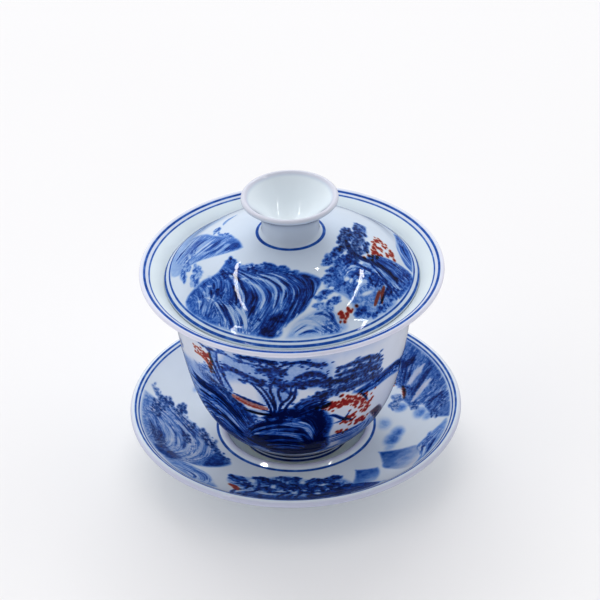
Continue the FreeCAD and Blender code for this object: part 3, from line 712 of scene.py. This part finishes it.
class Nodes:
    """Short names for the nodes a material is wired from."""

    def __init__(self, tree):
        self.tree = tree

    def new(self, kind, **settings):
        node = self.tree.nodes.new(kind)
        for key, value in settings.items():
            setattr(node, key, value)
        return node

    def link(self, value, socket):
        if isinstance(value, bpy.types.NodeSocket):
            self.tree.links.new(value, socket)
        else:
            socket.default_value = value

    def math(self, operation, a, b=0.0, clamp=False):
        node = self.new("ShaderNodeMath", operation=operation, use_clamp=clamp)
        self.link(a, node.inputs[0])
        self.link(b, node.inputs[1])
        return node.outputs[0]

    def times(self, a, b):
        return self.math("MULTIPLY", a, b)

    def plus(self, a, b):
        return self.math("ADD", a, b)

    def minus(self, a, b):
        return self.math("SUBTRACT", a, b)

    def gap(self, a, b):
        return self.math("ABSOLUTE", self.minus(a, b))

    def attribute(self, name):
        return self.new("ShaderNodeAttribute", attribute_name=name).outputs["Fac"]

    def noise(self, vector, scale, detail=2.0, roughness=0.5, distortion=0.0):
        node = self.new("ShaderNodeTexNoise")
        self.link(vector, node.inputs["Vector"])
        node.inputs["Scale"].default_value = scale
        node.inputs["Detail"].default_value = detail
        node.inputs["Roughness"].default_value = roughness
        node.inputs["Distortion"].default_value = distortion
        return node.outputs[0]

    def spread(self, value, low, high, to_low=0.0, to_high=1.0, smooth=True):
        node = self.new("ShaderNodeMapRange", interpolation_type="SMOOTHSTEP" if smooth else "LINEAR")
        self.link(value, node.inputs["Value"])
        for key, number in (("From Min", low), ("From Max", high), ("To Min", to_low), ("To Max", to_high)):
            self.link(number, node.inputs[key])
        return node.outputs["Result"]

    def vector(self, x, y, z=0.0):
        node = self.new("ShaderNodeCombineXYZ")
        for socket, value in zip(node.inputs, (x, y, z)):
            self.link(value, socket)
        return node.outputs[0]

    def grey(self, value):
        return self.vector(value, value, value)

    def split(self, vector):
        node = self.new("ShaderNodeSeparateXYZ")
        self.link(vector, node.inputs[0])
        return node.outputs

    def output(self, kind, shader):
        self.link(shader.outputs[0], self.new(kind).inputs["Surface"])

    def mix(self, share, a, b, blend="MIX"):
        node = self.new("ShaderNodeMix", data_type="RGBA", blend_type=blend)
        self.link(share, node.inputs["Factor"])
        self.link(a, node.inputs["A"])
        self.link(b, node.inputs["B"])
        return node.outputs["Result"]

    def ramp(self, value, stops):
        node = self.new("ShaderNodeValToRGB")
        elements = node.color_ramp.elements
        while len(elements) < len(stops):
            elements.new(0.5)
        for element, (position, colour) in zip(elements, stops):
            element.position = position
            element.color = (*colour, 1)
        self.link(value, node.inputs[0])
        return node.outputs["Color"]


# Each glaze where it is even, where it has run thick, and where it is thin over a lip. Where it has run
# thick, in the hollows, the tone is greener and also lighter than the even glaze: painted light, standing in
# for light that reaches into the hollow.
# The saucer's lip tone is lilac like thin glaze and also darker than its even glaze: painted shade, as on the
# shaded front of the lip.
SAUCER_GLAZE = ((0.67, 0.73, 0.785, 1), (0.82, 0.93, 0.92, 1), (0.56, 0.575, 0.70, 1))
BOWL_GLAZE = ((0.66, 0.70, 0.80, 1), (0.74, 0.82, 0.84, 1), (0.78, 0.78, 0.89, 1))
LID_GLAZE = ((0.60, 0.68, 0.78, 1), (0.77, 0.84, 0.88, 1), (0.65, 0.66, 0.74, 1))
BISCUIT = (0.72, 0.67, 0.60, 1)
COBALT = (  # how cobalt blue tints the glaze, from none to its thickest
    (0.0, (1, 1, 1)),
    (0.12, (0.50, 0.65, 0.90)),
    (0.28, (0.14, 0.31, 0.72)),
    (0.48, (0.022, 0.115, 0.47)),
    (0.72, (0.006, 0.035, 0.24)),
    (1.0, (0.002, 0.006, 0.055)),
)
IRON = (  # how iron red tints it
    (0.0, (1, 1, 1)),
    (0.25, (0.86, 0.50, 0.38)),
    (0.60, (0.56, 0.085, 0.045)),
    (1.0, (0.36, 0.016, 0.012)),
)
THICKEST = 2.0  # ink at the end of the cobalt scale
MIRRORED = (0.25, 0.27, 0.36, 1)  # how much dimmer one piece shows in another's glaze
GLAZE_ROUGHNESS = 0.22
BISCUIT_ROUGHNESS = 0.85
GLAZE_WAVES = 0.00006  # m, the height of the waves in the glaze
COAT_ROUGHNESS = 0.03
COAT_IOR = 1.34
PAPER_TONES = ((0.726, 0.717, 0.712, 1), (0.74, 0.731, 0.726, 1))
PAPER_MIRRORED = (0.3, 0.3, 0.3, 1)
PAPER_GLOW = (0.03, 0.03, 0.03, 1)
PAPER_GLOW_ON_PIECES = (0.34, 0.35, 0.38, 1)
PAPER_GLOW_SEEN = (0.10, 0.10, 0.10, 1)
PAPER_FADES = (0.4, 1.1)  # m from the set, where the paper starts and ends melting into the backdrop
WORLD_FRONT = (0.16, 0.165, 0.20, 1)
WORLD_BACK = (1.2, 1.21, 1.24, 1)
WORLD_SEEN = (0.945, 0.945, 0.955, 1)


def porcelain(name, bands, bare, pooled_with_painted_light, lips, tones, depth, seed):
    """Glazed porcelain.

    bands are painted rings: path, half width, ink, how far along the path they stray at the front, and how
    much wider they are there. bare is the unglazed foot's stretch of path. The next argument is the stretch
    where the glaze has run thick in a hollow: its tone there is greener for the thick glaze and also lighter,
    painted light standing in for light that reaches into the hollow. lips are where it is thin. depth makes
    the painting heavier or lighter.
    """
    material, tree = new_material(name)
    n = Nodes(tree)
    place = n.new("ShaderNodeTexCoord").outputs["Object"]
    in_mm = n.new("ShaderNodeVectorMath", operation="SCALE")
    n.link(place, in_mm.inputs[0])
    in_mm.inputs["Scale"].default_value = 1 / MM
    spot = n.new("ShaderNodeVectorMath", operation="ADD")
    n.link(in_mm.outputs[0], spot.inputs[0])
    spot.inputs[1].default_value = (seed * 37.0, seed * 11.0, 0.0)
    spot = spot.outputs[0]
    path = n.attribute("path")

    flow = n.vector(n.attribute("flow_across"), n.times(n.attribute("flow_along"), 0.09), float(seed))
    broad = n.spread(n.noise(flow, 0.8, 2.0, 0.5, 0.3), 0.36, 0.64)
    fine = n.spread(n.noise(flow, 2.4, 2.0, 0.55, 0.2), 0.36, 0.64)
    strokes = n.plus(n.times(broad, 0.5), n.times(fine, 0.5))
    dabs = n.spread(n.noise(spot, 0.95, 2.5, 0.6), 0.36, 0.64)
    mottle = n.noise(spot, 0.35, 3.0, 0.6)

    ink = n.attribute("ink")
    grain = n.times(n.attribute("grain"), n.minus(strokes, 0.5))
    leafy = n.times(n.attribute("leafy"), n.minus(dabs, 0.55))
    present = n.spread(ink, 0.0, 0.8)
    painted = n.plus(ink, n.times(n.plus(grain, leafy), present))
    painted = n.times(painted, n.spread(mottle, 0.3, 0.7, 0.72 * depth, 1.22 * depth, False))

    outward = n.new("ShaderNodeVectorMath", operation="NORMALIZE")
    flat = n.new("ShaderNodeVectorMath", operation="MULTIPLY")
    n.link(place, flat.inputs[0])
    flat.inputs[1].default_value = (1, 1, 0)
    n.link(flat.outputs[0], outward.inputs[0])
    behind = n.split(outward.outputs[0])["Y"]
    rings = 0.0
    for centre, half, strength, lean, swell in bands:
        off = n.gap(path, n.plus(n.times(behind, -lean), centre))
        off = n.minus(off, n.times(n.math("MAXIMUM", n.times(behind, -1), 0.0), swell))
        ring = n.spread(off, half - 0.12, half + 0.12, strength, 0.0)
        rings = n.math("MAXIMUM", rings, ring)
    rings = n.times(rings, n.spread(mottle, 0.3, 0.7, 0.7, 1.25, False))
    total = n.math("DIVIDE", n.math("MAXIMUM", painted, rings), THICKEST, clamp=True)
    blue = n.ramp(total, COBALT)

    red_breakup = n.spread(n.noise(spot, 1.6, 2.0, 0.5), 0.3, 0.7, 0.75, 1.15, False)
    red = n.ramp(n.math("MULTIPLY", n.attribute("red"), red_breakup, clamp=True), IRON)

    # Painted light: where the glaze has run thick in a hollow, its tone is both greener and lighter, standing
    # in for light reaching into the hollow.
    to_lit_pool = n.gap(path, (pooled_with_painted_light[0] + pooled_with_painted_light[1]) / 2)
    half_lit_pool = (pooled_with_painted_light[1] - pooled_with_painted_light[0]) / 2
    glaze = n.mix(n.spread(to_lit_pool, half_lit_pool - 1.5, half_lit_pool, 1.0, 0.0), *tones[:2])
    for lip in lips:
        glaze = n.mix(n.spread(n.gap(path, lip), 0.6, 1.8, 1.0, 0.0), glaze, tones[2])
    cloud = n.spread(n.noise(spot, 0.06, 2.0, 0.5), 0.3, 0.7, 0.96, 1.03, False)
    glaze = n.mix(1.0, glaze, n.grey(cloud), "MULTIPLY")
    colour = n.mix(1.0, n.mix(1.0, glaze, blue, "MULTIPLY"), red, "MULTIPLY")

    mirrored = n.mix(1.0, colour, MIRRORED, "MULTIPLY")
    colour = n.mix(n.new("ShaderNodeLightPath").outputs["Is Glossy Ray"], colour, mirrored)

    to_bare = n.gap(path, (bare[0] + bare[1]) / 2)
    half_bare = (bare[1] - bare[0]) / 2
    edge_wander = n.times(n.minus(mottle, 0.5), 0.5)
    is_bare = n.spread(n.plus(to_bare, edge_wander), half_bare - 0.08, half_bare + 0.08, 1.0, 0.0)
    speckle = n.spread(n.noise(spot, 3.0, 2.0), 0.3, 0.7, 0.88, 1.05, False)
    biscuit = n.mix(1.0, BISCUIT, n.grey(speckle), "MULTIPLY")
    colour = n.mix(is_bare, colour, biscuit)

    waves = n.noise(spot, 0.22, 2.0, 0.45)
    bump = n.new("ShaderNodeBump")
    bump.inputs["Strength"].default_value = 1.0
    bump.inputs["Distance"].default_value = GLAZE_WAVES
    n.link(n.mix(is_bare, n.grey(waves), n.grey(speckle)), bump.inputs["Height"])

    shader = n.new("ShaderNodeBsdfPrincipled")
    n.link(colour, shader.inputs["Base Color"])
    n.link(n.spread(is_bare, 0.0, 1.0, GLAZE_ROUGHNESS, BISCUIT_ROUGHNESS, False), shader.inputs["Roughness"])
    n.link(n.spread(is_bare, 0.0, 1.0, 1.0, 0.0, False), shader.inputs["Coat Weight"])
    shader.inputs["Coat Roughness"].default_value = COAT_ROUGHNESS
    shader.inputs["Coat IOR"].default_value = COAT_IOR
    shader.inputs["Specular IOR Level"].default_value = 0.0
    n.link(bump.outputs["Normal"], shader.inputs["Normal"])
    n.link(bump.outputs["Normal"], shader.inputs["Coat Normal"])
    n.output("ShaderNodeOutputMaterial", shader)
    return material


def paper(name):
    """The studio's pale sweep, made to light the pieces softly and to show only faintly in their glaze."""
    material, tree = new_material(name)
    n = Nodes(tree)
    place = n.new("ShaderNodeTexCoord").outputs["Object"]
    cloud = n.spread(n.noise(place, 3.0, 2.0), 0.3, 0.7, 0.0, 1.0, False)
    ray = n.new("ShaderNodeLightPath").outputs
    colour = n.mix(cloud, *PAPER_TONES)
    # Painted light and shade on the paper: its colour runs lighter towards the front and darker further back.
    depth = n.spread(n.split(place)["Y"], -0.3, 0.4, 1.03, 0.93, False)
    colour = n.mix(1.0, colour, n.grey(depth), "MULTIPLY")
    shader = n.new("ShaderNodeBsdfPrincipled")
    distance = n.new("ShaderNodeVectorMath", operation="LENGTH")
    n.link(place, distance.inputs[0])
    far = n.spread(distance.outputs["Value"], *PAPER_FADES)
    colour = n.mix(far, colour, (0, 0, 0, 1))
    n.link(n.mix(ray["Is Glossy Ray"], colour, PAPER_MIRRORED), shader.inputs["Base Color"])
    own_light = n.mix(ray["Is Diffuse Ray"], PAPER_GLOW, PAPER_GLOW_ON_PIECES)
    seen_light = n.mix(far, PAPER_GLOW_SEEN, WORLD_SEEN)
    n.link(n.mix(ray["Is Camera Ray"], own_light, seen_light), shader.inputs["Emission Color"])
    shader.inputs["Emission Strength"].default_value = 1.0
    shader.inputs["Roughness"].default_value = 0.7
    shader.inputs["Specular IOR Level"].default_value = 0.2
    n.output("ShaderNodeOutputMaterial", shader)
    return material


# ---------------------------------------------------------------- the pieces

# Painted rings: level, half width in mm, ink, stray at the front and extra width there.
SAUCER_RINGS = ((54.0, 0.36, 1.0, 0.0, 0.0), (52.9, 0.3, 0.95, 0.0, 0.0), (26.6, 0.45, 1.1, 0.0, 0.0))
BOWL_LIP_RINGS = ((48.2, 0.39, 1.05, -0.3, 0.5), (46.65, 0.27, 0.95, 0.0, 0.0))
BOWL_FOOT_RINGS = ((6.2, 0.5, 1.6, 0.0, 0.0), (7.9, 0.55, 1.7, 0.0, 0.0))
LID_RINGS = ((41.5, 0.46, 1.0, -0.05, 0.0), (40.0, 0.32, 1.0, -0.45, 0.0), (10.9, 0.5, 1.1, 0.0, 0.0))
SAUCER_PAINT_STARTS = 25.6  # mm from the axis
LID_PAINT_STARTS = 10.2  # mm from the axis
BOWL_FOOT = 3.6  # mm, the height of the bowl's foot ring
BOWL_FOOT_RADIUS = 18.0  # mm
BEAD_HEIGHT = 9.2  # mm above the table, on the saucer's raised bead
NO_FOOT = (-2.0, -1.0)  # a stretch of path that is on no piece


def path_at(section, side, axis, level):
    """How far along the section a radius (axis 0) or height (axis 1) lies, on one side of it."""
    lengths = path_lengths(section)[side]
    levels = section[side, axis]
    order = np.argsort(levels)
    return float(np.interp(level, levels[order], lengths[order]))


def rings_on(section, side, axis, rings):
    return [(path_at(section, side, axis, level), *brush) for level, *brush in rings]


def foot_stretch(section):
    """Where along the section its lowest, unglazed edge starts and ends."""
    lengths = path_lengths(section)[section[:, 1] < section[:, 1].min() + 0.25]
    return lengths.min(), lengths.max()


def finish_piece(node, section, fields, material):
    piece = turned_mesh(f"{node}_porcelain", section, fields)
    piece.data.materials.append(material)
    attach(piece, node)
    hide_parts(node)
    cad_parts[node].data.materials.clear()
    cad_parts[node].data.materials.append(material)


def make_saucer():
    points = seam_points("saucer")
    lip = points[:, 0].max()
    first, last = stretch(points, lambda r, z: r == lip, lambda r, z: r < SAUCER_PAINT_STARTS)
    section, top = turned_section(points, (first, last))
    art = Painting(section, top, 0, 3)
    paint_saucer(art)
    bands = rings_on(section, top, 0, SAUCER_RINGS)
    lengths = path_lengths(section)
    rows = np.arange(len(section))
    bead = path_at(section, rows[top.stop:], 1, BEAD_HEIGHT)
    lips = (lengths[np.argmax(section[:, 0])], bead)
    # The well's glaze takes the thick-glaze tone, which is also lightened as painted light.
    well = (bead + 2, lengths[-1] + 2)
    material = porcelain("saucer_glaze", bands, foot_stretch(section), well, lips, SAUCER_GLAZE, 0.95, 3)
    finish_piece("saucer", section, art.fields, material)


def make_bowl():
    points = seam_points("bowl")
    foot_height = points[:, 1].min() + BOWL_FOOT
    lip = points[:, 0].max()
    side = stretch(points, lambda r, z: r > BOWL_FOOT_RADIUS and z > foot_height, lambda r, z: r == lip)
    section, outside = turned_section(points, side)
    art = Painting(section, outside, 1, 1)
    paint_bowl(art)
    rows = np.arange(len(section))
    inside = rows[outside.stop:]
    foot_end = np.searchsorted(path_lengths(section), foot_stretch(section)[1])
    foot_side = rows[foot_end:outside.start + 4]
    bands = rings_on(section, inside, 0, BOWL_LIP_RINGS) + rings_on(section, foot_side, 1, BOWL_FOOT_RINGS)
    lengths = path_lengths(section)
    lip = lengths[np.argmax(section[:, 0])]
    # The bowl's inside takes the thick-glaze tone, which is also lightened as painted light.
    hollow = (lip + 3.5, lengths[-1] + 2)
    material = porcelain("bowl_glaze", bands, foot_stretch(section), hollow, (lip,), BOWL_GLAZE, 1.2, 1)
    finish_piece("bowl", section, art.fields, material)


def make_lid():
    points = seam_points("lid")
    edge = points[:, 0].max()
    dome = stretch(points, lambda r, z: r == edge, lambda r, z: r < LID_PAINT_STARTS)
    section, top = turned_section(points, dome)
    art = Painting(section, top, 0, 2)
    paint_lid(art)
    bands = rings_on(section, top, 0, LID_RINGS)
    lengths = path_lengths(section)
    knob_lip = lengths[np.argmax(section[:, 1])]
    # The knob's hollow takes the thick-glaze tone, which is also lightened as painted light.
    hollow = (knob_lip + 1, lengths[-1] + 2)
    material = porcelain("lid_glaze", bands, NO_FOOT, hollow, (knob_lip,), LID_GLAZE, 1.0, 2)
    finish_piece("lid", section, art.fields, material)


# ---------------------------------------------------------------- studio

CAMERA_HEIGHT_ANGLE = 0.6018  # radians above the horizon
CAMERA_DISTANCE = 0.95137  # m
CAMERA_TARGET = Vector((0.00243, 0, 0.05862))
CAMERA_ROLL = -0.0278
CAMERA_LENS = 173.2  # mm
LIGHT_TARGET = Vector((0, 0, 0.06))
FLOOR_REACH = 6.0  # m from the set to each edge
FLOOR_STEPS = 24


def make_camera():
    forward = Vector((0, math.cos(CAMERA_HEIGHT_ANGLE), -math.sin(CAMERA_HEIGHT_ANGLE)))
    right = Vector((1, 0, 0))
    up = right.cross(forward)
    turned_right = right * math.cos(CAMERA_ROLL) + up * math.sin(CAMERA_ROLL)
    turned_up = up * math.cos(CAMERA_ROLL) - right * math.sin(CAMERA_ROLL)
    data = bpy.data.cameras.new("camera")
    data.lens = CAMERA_LENS
    data.sensor_width = 36
    camera = bpy.data.objects.new("camera", data)
    place = CAMERA_TARGET - forward * CAMERA_DISTANCE
    rotation = Matrix((turned_right, turned_up, -forward)).transposed().to_4x4()
    camera.matrix_world = Matrix.Translation(place) @ rotation
    bpy.context.scene.collection.objects.link(camera)
    bpy.context.scene.camera = camera


def area_light(name, start, end, width, power, only=()):
    """A lamp from start to end in m, width across. It lights the set, or only gleams on some pieces."""
    start, end = Vector(start), Vector(end)
    middle = (start + end) / 2
    back = (middle - LIGHT_TARGET).normalized()
    side = (end - start).normalized()
    up = back.cross(side).normalized()
    data = bpy.data.lights.new(name, "AREA")
    data.shape = "RECTANGLE"
    data.size = (end - start).length
    data.size_y = width
    data.energy = power
    light = bpy.data.objects.new(name, data)
    rotation = Matrix((up.cross(back), up, back)).transposed().to_4x4()
    light.matrix_world = Matrix.Translation(middle) @ rotation
    bpy.context.scene.collection.objects.link(light)
    if only:
        lit = bpy.data.collections.new(f"{name}_lights")
        for piece in only:
            lit.objects.link(bpy.data.objects[f"{piece}_porcelain"])
        light.light_linking.receiver_collection = lit
        light.visible_diffuse = False
    else:
        light.visible_glossy = False


def studio_world():
    """Light from all round, bright from behind and above, dimmer and bluer from the front."""
    world = bpy.data.worlds.new("studio")
    world.use_nodes = True
    tree = world.node_tree
    tree.nodes.clear()
    n = Nodes(tree)
    parts = n.split(n.new("ShaderNodeTexCoord").outputs["Generated"])
    behind = n.plus(n.times(parts["Y"], 0.85), n.times(parts["Z"], 0.35))
    aside = n.times(n.math("ABSOLUTE", parts["X"]), 0.35)
    behind = n.plus(behind, n.minus(aside, n.times(parts["X"], 0.25)))
    light = n.mix(n.spread(behind, -0.7, 0.7), WORLD_FRONT, WORLD_BACK)
    ray = n.new("ShaderNodeLightPath").outputs
    light = n.mix(n.times(ray["Is Glossy Ray"], 0.75), light, (0, 0, 0, 1))
    background = n.new("ShaderNodeBackground")
    n.link(n.mix(ray["Is Camera Ray"], light, WORLD_SEEN), background.inputs["Color"])
    n.output("ShaderNodeOutputWorld", background)
    return world


def make_studio():
    line = np.linspace(-FLOOR_REACH, FLOOR_REACH, FLOOR_STEPS + 1)
    places = [(x, y, 0.0) for y in line for x in line]
    faces = []
    for row in range(FLOOR_STEPS):
        for column in range(FLOOR_STEPS):
            corner = row * (FLOOR_STEPS + 1) + column
            faces.append((corner, corner + 1, corner + FLOOR_STEPS + 2, corner + FLOOR_STEPS + 1))
    mesh = bpy.data.meshes.new("floor")
    mesh.from_pydata(places, [], faces)
    floor = bpy.data.objects.new("floor", mesh)
    mesh.materials.append(paper("floor_paper"))
    bpy.context.scene.collection.objects.link(floor)

    bpy.context.scene.world = studio_world()
    area_light("key", (-0.9, 1.3, 1.3), (0.6, 1.3, 1.3), 1.0, 14)
    area_light("strip_left", (-0.62, 0.82, 1.17), (-0.79, -0.32, 1.33), 0.05, 4.5, ["lid"])
    area_light("strip_right", (0.82, 0.71, 1.12), (0.91, -0.24, 1.26), 0.05, 4.0, ["lid"])
    area_light("lamp_left", (-0.15, 0.45, 1.48), (-0.12, 0.45, 1.48), 0.05, 1.2, ["lid"])
    area_light("lamp_right", (0.23, 0.55, 1.45), (0.26, 0.55, 1.45), 0.03, 0.7, ["lid"])
    area_light("lamp_far_right", (0.30, 0.53, 1.44), (0.34, 0.53, 1.44), 0.03, 0.9, ["lid"])
    area_light("glint_left", (-0.97, -0.682, 1.044), (-0.80, -0.682, 1.044), 0.18, 60.0, ["saucer"])
    area_light("glint_right", (0.83, -0.682, 1.044), (0.92, -0.682, 1.044), 0.1, 40.0, ["saucer"])
    area_light("knob_streak", (-0.76, -1.09, 0.78), (-0.86, -0.83, 0.99), 0.05, 3.0, ["lid"])
    bpy.context.scene.view_settings.view_transform = "Standard"


make_saucer()
make_bowl()
make_lid()
make_studio()
make_camera()
